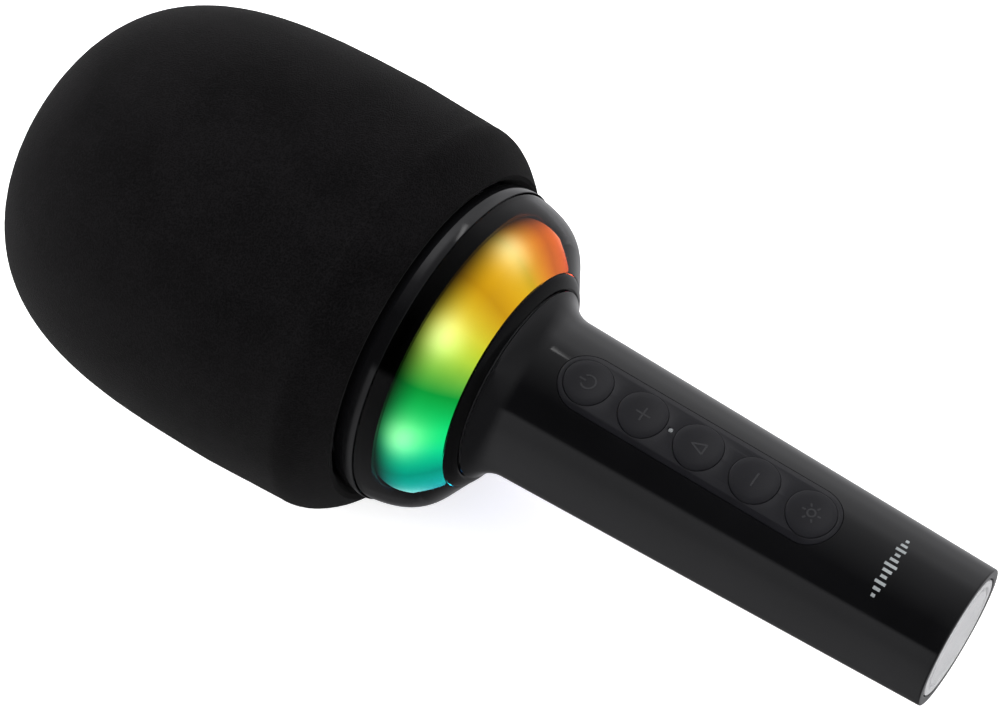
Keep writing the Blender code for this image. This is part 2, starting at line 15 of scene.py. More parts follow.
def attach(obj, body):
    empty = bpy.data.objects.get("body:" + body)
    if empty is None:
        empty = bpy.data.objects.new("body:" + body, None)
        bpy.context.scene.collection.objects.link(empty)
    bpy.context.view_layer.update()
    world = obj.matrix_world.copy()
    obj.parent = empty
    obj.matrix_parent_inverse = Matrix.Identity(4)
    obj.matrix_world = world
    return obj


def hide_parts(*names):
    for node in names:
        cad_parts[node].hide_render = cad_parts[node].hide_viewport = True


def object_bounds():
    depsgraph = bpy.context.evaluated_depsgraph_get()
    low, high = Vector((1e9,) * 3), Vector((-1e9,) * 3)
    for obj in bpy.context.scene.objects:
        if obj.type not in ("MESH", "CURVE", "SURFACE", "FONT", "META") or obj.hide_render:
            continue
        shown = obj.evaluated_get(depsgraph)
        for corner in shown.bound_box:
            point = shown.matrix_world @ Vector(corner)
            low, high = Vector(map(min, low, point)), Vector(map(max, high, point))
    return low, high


MM = 0.001

# Handle
TAIL_RADIUS = 17.0
NECK_RADIUS = 20.1
NECK_HEIGHT = 104.5
FLARE_START = 107.3
FLARE_RADIUS = 8.4
FLARE_TURN = math.radians(60)
HANDLE_WALL = 2.0

# Bowl
CONE_LOW = (24.4, 114.6)
CONE_HIGH = (34.3, 120.7)
SHOULDER_BEND = (38.9, 123.6)
COVER_TOP = (39.9, 133.4)
COVER_FOOT = 27.8
RIM_RADIUS = 27.75
COLLAR_RADIUS = 40.3

# Windscreen. A dome is the height where it starts, its tip, and how square it is (2 is an ellipse).
FOAM_RADIUS = 50.9
FOAM_BORE = 38.6
FOAM_DOME = (170.3, 245.0, 3.2)
BORE_DOME = (182.0, 234.8, 2.4)
FOAM_SIDE_END = (49.9, 150.0)
FOAM_MOUTH = (FOAM_BORE, 143.0)

# The windscreen's lean, in millimetres: at its foot, and what its length adds by the tip
LEAN_DIRECTION = Vector((0.0, -0.91, -0.42))
LEAN_AT_FOOT = 0.6
LEAN_GROWTH = 0.7
LEAN_FOOT = 140
LEAN_LENGTH = 105

# Where the windscreen's leaning skin begins and how thick it is: as a radius below the dome, and in the
# dome as a share of the dome's size
SKIN_START = 40.5
SKIN_DEPTH = 5
DOME_START = 170
DOME_LENGTH = 75
DOME_SKIN_START = 0.88
DOME_SKIN_DEPTH = 0.09

# Grille
GRILLE_RADIUS = 37.9
GRILLE_DOME = (183.4, 233.3, 2.4)
GRILLE_SIDE = (144.9, 180.2)
WIRE_RADIUS = 0.24
WIRE_LIFT = 0.2
WIRE_SIDES = 5

# Buttons, with the clearance round each in its hole
BUTTON_HEIGHTS = [95.9 - 14.35 * i for i in range(5)]
BUTTON_RADIUS = 5.7
BUTTON_CLEARANCE = 0.09
BUTTON_SIDES = 72
FLANGE_RADIUS = 6.4
FLANGE_TOP = 12.6
FLANGE_FOOT = 12.0
SIGN_WIDTH = 0.42

# A button's top: how proud its rim stands, how deep and wide its dish is, and its rounded edge
RIM_PROUD = 0.22
DISH_DEPTH = 0.3
DISH_RADIUS = 4.6
EDGE_START = 5.45
EDGE_RINGS = (5.54, 5.61, 5.66, 5.69)
EDGE_WIDTH = 0.25
EDGE_DROP = 0.2

# Button panel and the slot it sits in
PANEL_CENTRE = 67.2
PANEL_LENGTH = 71.0
PANEL_RADIUS = 7.2
PANEL_CLEARANCE = 0.16
PANEL_LIP = 1.3
PANEL_BACK = 12.9
STATUS_HEIGHT = (BUTTON_HEIGHTS[1] + BUTTON_HEIGHTS[2]) / 2
STATUS_RADIUS = 0.62

# Charging mouth, on the underside
MOUTH_HEIGHT = 15.0
MOUTH_RADIUS = 1.95
MOUTH_LENGTH = 9.6

# Mark
MARK_BARS = [0.9, 1.7, 2.6, 1.5, 2.2, 3.0, 2.0, 1.2, 2.4, 1.6, 0.8]
MARK_HEIGHT = 18.1
MARK_PITCH = 1.45
MARK_BAR_WIDTH = 0.7
MARK_TURN = 4

# Lights: the spot over each LED spreads in degrees round the ring and in millimetres along it
LED_HEIGHT = 125.5
LED_STEP = 45.0
FIRST_LED = 22.5
SPOT_SPREAD = 8.6
SPOT_REACH = 3.9
SPOT_STRENGTH = 6.4
SPOT_WHITENING = 0.2
GLOW_STRENGTH = 12.6
GLOW_BETWEEN_LEDS = 0.52
GLOW_ENDS = 131.5
GLOW_FULL = 123.2

# Sides of the turned pieces, and the angle in degrees from which an edge stays sharp
FINE = 256
COARSE = 192
SHARP = 35

# Camera
CAMERA_PLACE = (0.0716, -0.2518, 0.5542)
CAMERA_AZIMUTH = 37.26
CAMERA_ELEVATION = 59.87
CAMERA_ROLL = -3.49
CAMERA_LENS = 100.0

# Studio, in metres
FLOOR_HALF = 30.0
FLOOR_GAP = 0.0015
FLOOR_GLOW = 0.65
ROOM_STRENGTH = 2.0
WHITE = (1.0, 1.0, 1.0, 1.0)


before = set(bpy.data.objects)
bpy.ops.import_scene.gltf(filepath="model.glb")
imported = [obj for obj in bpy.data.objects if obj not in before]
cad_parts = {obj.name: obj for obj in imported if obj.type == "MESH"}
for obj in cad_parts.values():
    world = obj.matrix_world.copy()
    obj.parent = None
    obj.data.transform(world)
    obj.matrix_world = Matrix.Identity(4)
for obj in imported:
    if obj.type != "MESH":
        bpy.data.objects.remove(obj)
cad_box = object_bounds()
scene = bpy.context.scene


# Geometry


def handle_radius(height):
    return TAIL_RADIUS + (NECK_RADIUS - TAIL_RADIUS) * height / NECK_HEIGHT


def cone_height(radius):
    rise = (CONE_HIGH[1] - CONE_LOW[1]) / (CONE_HIGH[0] - CONE_LOW[0])
    return CONE_LOW[1] + rise * (radius - CONE_LOW[0])


def laid(radius, degrees, height):
    angle = math.radians(degrees)
    return Vector((-height, radius * math.sin(angle), radius * math.cos(angle))) * MM


def on_skin(across, height, proud):
    """A point over the button side of the handle: across towards +Y, and proud of its skin."""
    radius = handle_radius(height) + proud
    return Vector((-height, across, math.sqrt(radius * radius - across * across))) * MM


def bezier(start, bend, end, steps):
    points = []
    for i in range(steps + 1):
        t = i / steps
        point = ((1 - t) ** 2 * a + 2 * t * (1 - t) * b + t * t * c for a, b, c in zip(start, bend, end))
        points.append(tuple(point))
    return points


def dome(radius, start, tip, power, steps):
    """A superellipse's quarter, from the tip on the axis down to the full radius at height start."""
    points = [(0.0, tip)]
    for i in range(1, steps):
        angle = math.radians(90) * (i / steps) ** 1.25
        across = math.sin(angle) ** (2 / power)
        up = math.cos(angle) ** (2 / power)
        points.append((radius * across, start + (tip - start) * up))
    points.append((radius, start))
    return points


def straight(start, end, steps):
    """Points between two ends, both left out."""
    return [
        (start[0] + (end[0] - start[0]) * i / steps, start[1] + (end[1] - start[1]) * i / steps)
        for i in range(1, steps)
    ]


def rounded(outline, radius, closed=True):
    """The outline with each corner sharper than 20 degrees turned into an arc."""
    count = len(outline)
    result = []
    for i, corner in enumerate(outline):
        here = Vector(corner)
        if not closed and i in (0, count - 1):
            result.append(tuple(here))
            continue
        before = Vector(outline[i - 1]) - here
        after = Vector(outline[(i + 1) % count]) - here
        turn = math.pi - before.angle(after)
        if turn < math.radians(20):
            result.append(tuple(here))
            continue
        reach = min(radius * math.tan(turn / 2), 0.45 * before.length, 0.45 * after.length)
        first = here + before.normalized() * reach
        last = here + after.normalized() * reach
        result += bezier(tuple(first), tuple(here), tuple(last), 4)
    return result


def lathe(name, outline, sides, closed=True):
    """Turns an outline into a mesh object. An open outline starts and ends on the axis."""
    shape = bmesh.new()
    rows = []
    for radius, height in outline:
        if radius < 1e-6:
            rows.append([shape.verts.new(laid(0.0, 0.0, height))])
        else:
            rows.append([shape.verts.new(laid(radius, 360 * j / sides, height)) for j in range(sides)])
    pairs = list(zip(rows, rows[1:]))
    if closed:
        pairs.append((rows[-1], rows[0]))
    for upper, lower in pairs:
        for j in range(sides):
            k = (j + 1) % sides
            corners = [upper[j % len(upper)], lower[j % len(lower)]]
            corners += [lower[k % len(lower)], upper[k % len(upper)]]
            unique = list(dict.fromkeys(corners))
            if len(unique) > 2:
                shape.faces.new(unique)
    return piece_from(name, shape)


def bridge(shape, rings):
    """Joins each ring of points to the next with faces."""
    for first, second in zip(rings, rings[1:]):
        for j in range(len(first)):
            k = (j + 1) % len(first)
            shape.faces.new([first[j], second[j], second[k], first[k]])


def cap_ends(shape, rings):
    shape.faces.new(rings[0][::-1])
    shape.faces.new(rings[-1])


def piece_from(name, shape, sharp=SHARP):
    bmesh.ops.recalc_face_normals(shape, faces=shape.faces)
    mesh = bpy.data.meshes.new(name)
    shape.to_mesh(mesh)
    shape.free()
    mesh.shade_smooth()
    mesh.set_sharp_from_angle(angle=math.radians(sharp))
    piece = bpy.data.objects.new(name, mesh)
    scene.collection.objects.link(piece)
    return piece


def prism(name, outline, low, high):
    """A bar along Z through an outline of (height, across) points, in millimetres."""
    shape = bmesh.new()
    bottom = [shape.verts.new(Vector((-height, across, low)) * MM) for height, across in outline]
    top = [shape.verts.new(Vector((-height, across, high)) * MM) for height, across in outline]
    shape.faces.new(bottom)
    shape.faces.new(top[::-1])
    bridge(shape, [bottom, top])
    return piece_from(name, shape)


def pill_outline(radius, length, centre, sides):
    """Points of a pill, as (height, across)."""
    reach = length / 2 - radius
    points = []
    for i in range(sides):
        angle = 2 * math.pi * (i + 0.5) / sides
        height = radius * math.cos(angle)
        points.append((centre + height + math.copysign(reach, height), radius * math.sin(angle)))
    return points


def boolean(piece, other, operation="DIFFERENCE"):
    modifier = piece.modifiers.new(other.name, "BOOLEAN")
    modifier.operation = operation
    modifier.object = other


def bake(piece, helpers):
    """Applies a piece's modifiers and removes the helpers they used."""
    graph = bpy.context.evaluated_depsgraph_get()
    mesh = bpy.data.meshes.new_from_object(piece.evaluated_get(graph))
    piece.modifiers.clear()
    piece.data = mesh
    mesh.shade_smooth()
    mesh.set_sharp_from_angle(angle=math.radians(SHARP))
    for helper in helpers:
        bpy.data.objects.remove(helper, do_unlink=True)


def soften(piece, width):
    bevel = piece.modifiers.new("Soft edges", "BEVEL")
    bevel.width = width * MM
    bevel.segments = 2
    bevel.limit_method = "ANGLE"
    bevel.angle_limit = math.radians(40)
    bevel.harden_normals = False


# Materials

# A colour Mix node's sockets, which share their names with its other kinds.
MIX_A = 6
MIX_B = 7
MIX_RESULT = 2


class Finish:
    """A Principled material, with short calls for its procedural detail.

    Further keywords set the shader's other inputs: sheen_weight is Sheen Weight, and ior is IOR.
    """

    def __init__(self, name, colour, roughness, metallic=0.0, **inputs):
        self.material = bpy.data.materials.new(name)
        self.material.use_nodes = True
        self.tree = self.material.node_tree
        self.shader = self.tree.nodes["Principled BSDF"]
        self.shader.inputs["Base Color"].default_value = (*colour, 1.0)
        self.shader.inputs["Roughness"].default_value = roughness
        self.shader.inputs["Metallic"].default_value = metallic
        for key, value in inputs.items():
            label = key.replace("_", " ").title().replace("Ior", "IOR")
            self.shader.inputs[label].default_value = value
        self.place = self.node("ShaderNodeTexCoord").outputs["Object"]
        self.relief = None

    def node(self, kind, **settings):
        made = self.tree.nodes.new(kind)
        for key, value in settings.items():
            setattr(made, key, value)
        return made

    def link(self, source, target):
        self.tree.links.new(source, target)

    def math(self, operation, *values):
        made = self.node("ShaderNodeMath", operation=operation)
        for socket, value in zip(made.inputs, values):
            if isinstance(value, (int, float)):
                socket.default_value = value
            else:
                self.link(value, socket)
        return made.outputs[0]

    def noise(self, scale, detail=3.0, rough=0.5, stretch=None):
        made = self.node("ShaderNodeTexNoise")
        made.inputs["Scale"].default_value = scale
        made.inputs["Detail"].default_value = detail
        made.inputs["Roughness"].default_value = rough
        self.link(self.stretched(stretch), made.inputs["Vector"])
        return made.outputs["Fac"]

    def cells(self, scale):
        made = self.node("ShaderNodeTexVoronoi", feature="F1")
        made.inputs["Scale"].default_value = scale
        self.link(self.place, made.inputs["Vector"])
        return made.outputs["Distance"]

    def stretched(self, stretch):
        if stretch is None:
            return self.place
        mapping = self.node("ShaderNodeMapping")
        mapping.inputs["Scale"].default_value = stretch
        self.link(self.place, mapping.inputs["Vector"])
        return mapping.outputs["Vector"]

    def remap(self, value, low, high, start=0.0, end=1.0):
        made = self.node("ShaderNodeMapRange")
        self.link(value, made.inputs["Value"])
        made.inputs["From Min"].default_value = start
        made.inputs["From Max"].default_value = end
        made.inputs["To Min"].default_value = low
        made.inputs["To Max"].default_value = high
        return made.outputs["Result"]

    def blend(self, factor, first, second):
        made = self.node("ShaderNodeMix", data_type="RGBA")
        self.link(factor, made.inputs["Factor"])
        for index, value in ((MIX_A, first), (MIX_B, second)):
            if isinstance(value, tuple):
                made.inputs[index].default_value = (*value, 1.0)
            else:
                self.link(value, made.inputs[index])
        return made.outputs[MIX_RESULT]

    def colour(self, value):
        self.link(value, self.shader.inputs["Base Color"])

    def roughness(self, value):
        self.link(value, self.shader.inputs["Roughness"])

    def bump(self, value, depth, strength=1.0):
        """Relief whose full height is depth, in millimetres. Calls add up."""
        made = self.node("ShaderNodeBump")
        made.inputs["Distance"].default_value = depth * MM
        made.inputs["Strength"].default_value = strength
        self.link(value, made.inputs["Height"])
        if self.relief is not None:
            self.link(self.relief, made.inputs["Normal"])
        self.relief = made.outputs["Normal"]
        self.link(self.relief, self.shader.inputs["Normal"])


def foam_finish(name, dark, light, pore=2500):
    """Open-cell foam: lighter struts round pores painted dark as painted shade in the holes, and a soft fuzz
    towards the edge.
    """
    finish = Finish(name, dark, 0.95, specular_ior_level=0.03, sheen_weight=0.02, sheen_roughness=0.5)
    pores = finish.cells(pore)
    grain = finish.noise(pore * 1.4, 4.0, 0.65)
    patches = finish.noise(60, 3.0)
    # The pores' centres are painted darker than the struts: painted shade in the foam's holes. Grain and
    # patches vary the tone at random.
    mixed = finish.math("MULTIPLY", finish.remap(pores, 0.0, 1.0, 0.05, 0.75), grain)
    lively = finish.math("MULTIPLY", mixed, finish.remap(patches, 0.75, 1.25, 0.35, 0.65))
    finish.colour(finish.blend(finish.remap(lively, 0.0, 1.0, 0.05, 0.5), dark, light))
    finish.bump(pores, 0.15, 0.6)
    finish.bump(grain, 0.1, 0.5)
    return finish.material


def gloss_finish(name, colour=(0.0024, 0.0024, 0.0027), roughness=0.07, specular=0.42):
    """Piano black: polished, with a faint moulding wave and hairlines of wear."""
    finish = Finish(name, colour, roughness, specular_ior_level=specular)
    wave = finish.noise(45, 2.0)
    hair = finish.noise(900, 5.0, 0.7, stretch=(0.08, 1.0, 1.0))
    finish.roughness(finish.remap(hair, roughness * 0.7, roughness * 1.6, 0.3, 0.75))
    lighter = tuple(c * 1.5 for c in colour)
    finish.colour(finish.blend(finish.remap(wave, 0.0, 1.0, 0.3, 0.7), colour, lighter))
    finish.bump(wave, 0.012)
    return finish.material


def satin_finish(name, colour, roughness, grain=2600, depth=0.02, specular=0.5):
    """Fine-textured moulded plastic or rubber."""
    finish = Finish(name, colour, roughness, specular_ior_level=specular)
    spark = finish.noise(grain, 3.0, 0.6)
    cloud = finish.noise(120, 3.0)
    finish.roughness(finish.remap(spark, roughness * 0.82, roughness * 1.2, 0.3, 0.7))
    lighter = tuple(min(1.0, c * 1.35) for c in colour)
    finish.colour(finish.blend(finish.remap(cloud, 0.0, 1.0, 0.3, 0.7), colour, lighter))
    finish.bump(spark, depth)
    return finish.material


def metal_finish(name, colour, roughness=0.3, stretch=(1.0, 1.0, 1.0)):
    """Metal with fine drawn lines or grain, and slightly uneven polish."""
    finish = Finish(name, colour, roughness, metallic=1.0)
    lines = finish.noise(1800, 4.0, 0.6, stretch=stretch)
    cloud = finish.noise(90, 4.0)
    finish.roughness(finish.remap(lines, roughness * 0.75, roughness * 1.4, 0.3, 0.7))
    darker = tuple(c * 0.72 for c in colour)
    finish.colour(finish.blend(finish.remap(cloud, 0.0, 1.0, 0.3, 0.7), darker, colour))
    finish.bump(lines, 0.01)
    return finish.material


def plate_finish(name):
    """Silver paint on the tail plate, turned in fine circles."""
    finish = Finish(name, (0.74, 0.74, 0.75), 0.38, metallic=0.15)
    parts = finish.node("ShaderNodeSeparateXYZ")
    finish.link(finish.place, parts.inputs[0])
    squares = [finish.math("MULTIPLY", parts.outputs[i], parts.outputs[i]) for i in (1, 2)]
    radius = finish.math("SQRT", finish.math("ADD", *squares))
    ring = finish.node("ShaderNodeTexNoise", noise_dimensions="1D")
    ring.inputs["Scale"].default_value = 5200
    ring.inputs["Detail"].default_value = 3.0
    finish.link(radius, ring.inputs["W"])
    cloud = finish.noise(160, 4.0)
    tone = finish.remap(ring.outputs["Fac"], 0.0, 1.0, 0.25, 0.75)
    finish.colour(finish.blend(tone, (0.46, 0.46, 0.47), (0.64, 0.64, 0.65)))
    finish.roughness(finish.remap(cloud, 0.3, 0.5, 0.3, 0.7))
    finish.bump(ring.outputs["Fac"], 0.02)
    return finish.material


def smoke_finish(name):
    """Smoked clear plastic, polished."""
    finish = Finish(name, (0.1, 0.1, 0.1), 0.02, transmission_weight=1.0, ior=1.22)
    cloud = finish.noise(70, 3.0)
    finish.roughness(finish.remap(cloud, 0.01, 0.035, 0.3, 0.7))
    tone = finish.remap(cloud, 0.0, 1.0, 0.3, 0.7)
    finish.colour(finish.blend(tone, (0.098, 0.098, 0.1), (0.11, 0.11, 0.112)))
    finish.bump(cloud, 0.006)
    return finish.material


# The light's hue every half step round the ring, from the back (-180 degrees) through -Y's side.
LIGHT_HUES = [
    (0.08, 0.03, 0.60),
    (0.006, 0.08, 0.60),
    (0.003, 0.22, 0.56),
    (0.008, 0.42, 0.45),
    (0.0, 0.50, 0.33),
    (0.0025, 0.62, 0.17),
    (0.005, 0.50, 0.062),
    (0.45, 0.54, 0.028),
    (0.86, 0.44, 0.006),
    (0.49, 0.31, 0.008),
    (0.97, 0.21, 0.03),
    (0.70, 0.06, 0.01),
    (0.50, 0.012, 0.05),
    (0.43, 0.012, 0.25),
    (0.28, 0.012, 0.43),
    (0.155, 0.02, 0.56),
]


def light_finish(name):
    """The diffuser's glow: one hue to each LED, a pale spot over it, and a fade towards the head."""
    finish = Finish(name, (0.02, 0.02, 0.022), 0.5)
    parts = finish.node("ShaderNodeSeparateXYZ")
    finish.link(finish.place, parts.inputs[0])
    turn = finish.math("ARCTAN2", parts.outputs["Y"], parts.outputs["Z"])
    degrees = finish.math("MULTIPLY", turn, 180 / math.pi)

    ramp = finish.node("ShaderNodeValToRGB")
    stops = ramp.color_ramp.elements
    stops[0].position = 0.0
    stops[1].position = 1.0
    stops[0].color = stops[1].color = (*LIGHT_HUES[0], 1.0)
    for i, hue in enumerate(LIGHT_HUES[1:], 1):
        stops.new(i / len(LIGHT_HUES)).color = (*hue, 1.0)
    finish.link(finish.remap(degrees, 0.0, 1.0, -180, 180), ramp.inputs["Fac"])

    across = finish.math("WRAP", finish.math("SUBTRACT", degrees, FIRST_LED), LED_STEP / 2, -LED_STEP / 2)
    height = finish.math("MULTIPLY", parts.outputs["X"], -1 / MM)
    rise = finish.math("SUBTRACT", height, LED_HEIGHT)
    around = finish.math("DIVIDE", across, SPOT_SPREAD)
    along = finish.math("DIVIDE", rise, SPOT_REACH)
    squares = [finish.math("MULTIPLY", part, part) for part in (around, along)]
    spread = finish.math("ADD", *squares)
    spot = finish.math("EXPONENT", finish.math("MULTIPLY", spread, -1.0))
    away = finish.math("ABSOLUTE", across)
    dip = finish.remap(away, 1.0, GLOW_BETWEEN_LEDS, 5.0, LED_STEP / 2)
    fade = finish.node("ShaderNodeMapRange", interpolation_type="SMOOTHSTEP")
    finish.link(height, fade.inputs["Value"])
    fade.inputs["From Min"].default_value = GLOW_ENDS
    fade.inputs["From Max"].default_value = GLOW_FULL
    glow = finish.math("MULTIPLY", dip, fade.outputs["Result"])

    whiter = finish.math("MULTIPLY", spot, SPOT_WHITENING)
    pale = finish.blend(whiter, ramp.outputs["Color"], (0.9, 1.0, 0.7))
    finish.link(pale, finish.shader.inputs["Emission Color"])
    from_glow = finish.math("MULTIPLY", glow, GLOW_STRENGTH)
    from_spot = finish.math("MULTIPLY", spot, SPOT_STRENGTH)
    finish.link(finish.math("ADD", from_glow, from_spot), finish.shader.inputs["Emission Strength"])
    finish.bump(finish.noise(300, 2.0), 0.004)
    return finish.material


def board_finish(name):
    """Green solder mask over copper tracks."""
    finish = Finish(name, (0.02, 0.16, 0.07), 0.4)
    tracks = finish.node("ShaderNodeTexBrick")
    tracks.inputs["Scale"].default_value = 260
    tracks.inputs["Mortar Size"].default_value = 0.03
    tracks.inputs["Color1"].default_value = (0.015, 0.15, 0.06, 1)
    tracks.inputs["Color2"].default_value = (0.02, 0.19, 0.08, 1)
    tracks.inputs["Mortar"].default_value = (0.05, 0.28, 0.1, 1)
    finish.link(finish.place, tracks.inputs["Vector"])
    finish.colour(tracks.outputs["Color"])
    finish.bump(tracks.outputs["Fac"], 0.03)
    finish.roughness(finish.remap(finish.noise(900), 0.3, 0.5))
    return finish.material


def wound_finish(name):
    """Enamelled copper wire, wound round the axis, with painted shade in the grooves between the turns."""
    finish = Finish(name, (0.72, 0.33, 0.16), 0.3, metallic=1.0)
    turns = finish.node("ShaderNodeTexWave", bands_direction="X")
    turns.inputs["Scale"].default_value = 900
    turns.inputs["Distortion"].default_value = 0.4
    finish.link(finish.place, turns.inputs["Vector"])
    # The copper is painted darker between the turns and lighter on them: painted shade in the grooves.
    finish.colour(finish.blend(turns.outputs["Fac"], (0.35, 0.13, 0.05), (0.85, 0.42, 0.22)))
    finish.bump(turns.outputs["Fac"], 0.08)
    return finish.material


def paper_finish(name, colour):
    """Pressed paper with short fibres."""
    finish = Finish(name, colour, 0.85)
    fibres = finish.noise(1400, 6.0, 0.75)
    lighter = tuple(c * 2.2 for c in colour)
    finish.colour(finish.blend(finish.remap(fibres, 0.0, 1.0, 0.35, 0.65), colour, lighter))
    finish.bump(fibres, 0.08)
    return finish.material


def clear_finish(name, colour):
    """Clear moulded plastic."""
    finish = Finish(name, colour, 0.08, transmission_weight=0.8)
    finish.roughness(finish.remap(finish.noise(500), 0.05, 0.14))
    return finish.material


# Assembly helpers


def dress(piece, material, body, slot, *nodes):
    """Gives a piece its material and its body, and hides the CAD nodes it stands for. slot, the record's
    slot, is not used.
    """
    piece.data.materials.clear()
    piece.data.materials.append(material)
    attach(piece, body)
    if nodes:
        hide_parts(*nodes)


def repaint(material, *nodes):
    """Gives CAD nodes a finished material."""
    for node in nodes:
        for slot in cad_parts[node].material_slots:
            slot.material = material


# Windscreen


def make_windscreen():
    crown = dome(FOAM_RADIUS, *FOAM_DOME, 90)
    wall = straight((FOAM_RADIUS, FOAM_DOME[0]), FOAM_SIDE_END, 18)
    side = bezier(FOAM_SIDE_END, (50.2, 143.9), (42.5, 137.5), 16)
    seat = [(41.4, 137.7), (40.6, 138.6), (39.8, 140.3), (39.1, 141.6), FOAM_MOUTH]
    lining = straight(FOAM_MOUTH, (FOAM_BORE, BORE_DOME[0]), 10)
    bore = dome(FOAM_BORE, *BORE_DOME, 30)[::-1]
    outline = crown + wall + side + seat + lining + bore
    piece = lathe("windscreen", outline, 288, closed=False)
    settle(piece)
    roughen(piece, 0.04, 1.3)
    foam = foam_finish("open_cell_foam", (0.0008, 0.00076, 0.0008), (0.0052, 0.0049, 0.0053))
    dress(piece, foam, "windscreen", "windscreen_foam", "foam_windscreen")


def settle(piece):
    """Leans the soft skin a little towards -Y and down, and leaves the bore round the grille alone."""
    for vertex in piece.data.vertices:
        height = -vertex.co.x / MM
        radius = math.hypot(vertex.co.y, vertex.co.z) / MM
        if height > DOME_START:
            share = math.hypot(radius / FOAM_RADIUS, (height - DOME_START) / DOME_LENGTH)
            depth = (share - DOME_SKIN_START) / DOME_SKIN_DEPTH
        else:
            depth = (radius - SKIN_START) / SKIN_DEPTH
        skin = min(max(depth, 0.0), 1.0)
        shift = skin * (LEAN_AT_FOOT + LEAN_GROWTH * max(height - LEAN_FOOT, 0.0) / LEAN_LENGTH) * MM
        vertex.co += LEAN_DIRECTION * shift
    piece.data.update()


def roughen(piece, height, size):
    """Moves each point a little along its normal, as the cut face of foam is never even."""
    normals = [vertex.normal.copy() for vertex in piece.data.vertices]
    for vertex, normal in zip(piece.data.vertices, normals):
        place = vertex.co / (size * MM)
        lift = noise.noise(place) + 0.5 * noise.noise(place * 2.3)
        vertex.co += normal * lift * height * MM
    piece.data.update()


# Grille


def wire(shape, points):
    """A round wire along points, each a place and the direction away from the surface."""
    rings = []
    for i, (place, away) in enumerate(points):
        ahead = points[min(i + 1, len(points) - 1)][0] - points[max(i - 1, 0)][0]
        ahead.normalize()
        across = ahead.cross(away).normalized()
        up = across.cross(ahead)
        ring = []
        for j in range(WIRE_SIDES):
            angle = 2 * math.pi * j / WIRE_SIDES
            out = (across * math.cos(angle) + up * math.sin(angle)) * (WIRE_RADIUS * MM)
            ring.append(shape.verts.new(place + out))
        rings.append(ring)
    bridge(shape, rings)
    cap_ends(shape, rings)


def weave(name, surface, columns, rows, loops=False):
    """Two families of wires over surface(u, v), which gives a place and a normal, each over and under.

    Where it loops, its last column is its first again.
    """
    shape = bmesh.new()
    last = columns if loops else columns - 1
    lift = WIRE_LIFT * MM

    def crossing(i, j, side):
        place, away = surface(i / last, j / (rows - 1))
        return place + away * side, away

    for i in range(columns):
        if loops or 0 < i < last:
            wire(shape, [crossing(i, j, lift if (i + j) % 2 else -lift) for j in range(rows)])
    for j in range(1, rows - 1):
        wire(shape, [crossing(i, j, -lift if (i + j) % 2 else lift) for i in range(last + 1)])
    return piece_from(name, shape, sharp=80)


def make_grille():
    steel = metal_finish("blackened_wire", (0.16, 0.16, 0.17), 0.32)
    ring_steel = metal_finish("turned_ring_metal", (0.42, 0.42, 0.44), 0.28, stretch=(1.0, 0.02, 0.02))
    middle = GRILLE_RADIUS - 0.62
    low, high = GRILLE_SIDE
    start, tip, power = GRILLE_DOME

    def side(u, v):
        place = laid(middle, 360 * u, low + (high - low) * v)
        return place, Vector((0, place.y, place.z)).normalized()

    def cap(u, v):
        """Maps a square evenly onto the dome."""
        x, y = 2 * u - 1, 2 * v - 1
        flat_x = x * math.sqrt(max(1 - y * y / 2, 0.0))
        flat_y = y * math.sqrt(max(1 - x * x / 2, 0.0))
        far = min(math.hypot(flat_x, flat_y), 1.0)
        turn = math.degrees(math.atan2(flat_y, flat_x))
        angle = math.radians(90) * far
        across = math.sin(angle) ** (2 / power)
        up = math.cos(angle) ** (2 / power) if far < 1 else 0.0
        place = laid(middle * across, turn, start + (tip - start) * up)
        # The slope of a superellipse gives its normal.
        lean_out = across ** (power - 1) / middle
        lean_up = up ** (power - 1) / (tip - start)
        away = laid(lean_out, turn, 0.0) + Vector((-lean_up, 0, 0)) * MM
        return place, away.normalized()

    side_weave = weave("grille_side_weave", side, 128, 22, loops=True)
    dress(side_weave, steel, "body", "grille_wire", "grille_side")
    dome_weave = weave("grille_dome_weave", cap, 74, 74)
    dress(dome_weave, steel, "body", "grille_wire", "grille_dome")

    inner, outer = GRILLE_RADIUS - 1.2, GRILLE_RADIUS + 0.3
    outline = [
        (outer, 184.0),
        (outer - 0.25, 182.4),
        (outer - 0.25, 180.6),
        (outer, 179.0),
        (inner, 179.0),
        (inner, 184.0),
    ]
    band = lathe("grille_centre_band", rounded(outline, 0.4), COARSE)
    dress(band, ring_steel, "body", "grille_metal", "grille_band")
    outline = [
        (outer, 145.5),
        (outer, 143.4),
        (outer - 0.35, 143.0),
        (outer - 0.35, 142.2),
        (outer, 141.8),
        (outer, 139.7),
        (37.0, 139.7),
        (37.0, 136.6),
        (35.4, 136.6),
        (35.4, 145.5),
    ]
    foot = lathe("grille_foot_ring", rounded(outline, 0.3), COARSE)
    dress(foot, ring_steel, "body", "grille_metal", "grille_ring")
    liner = foam_finish("liner_foam", (0.008, 0.008, 0.008), (0.04, 0.04, 0.042), 900)
    repaint(liner, "grille_liner")


# Collar and ring of lights


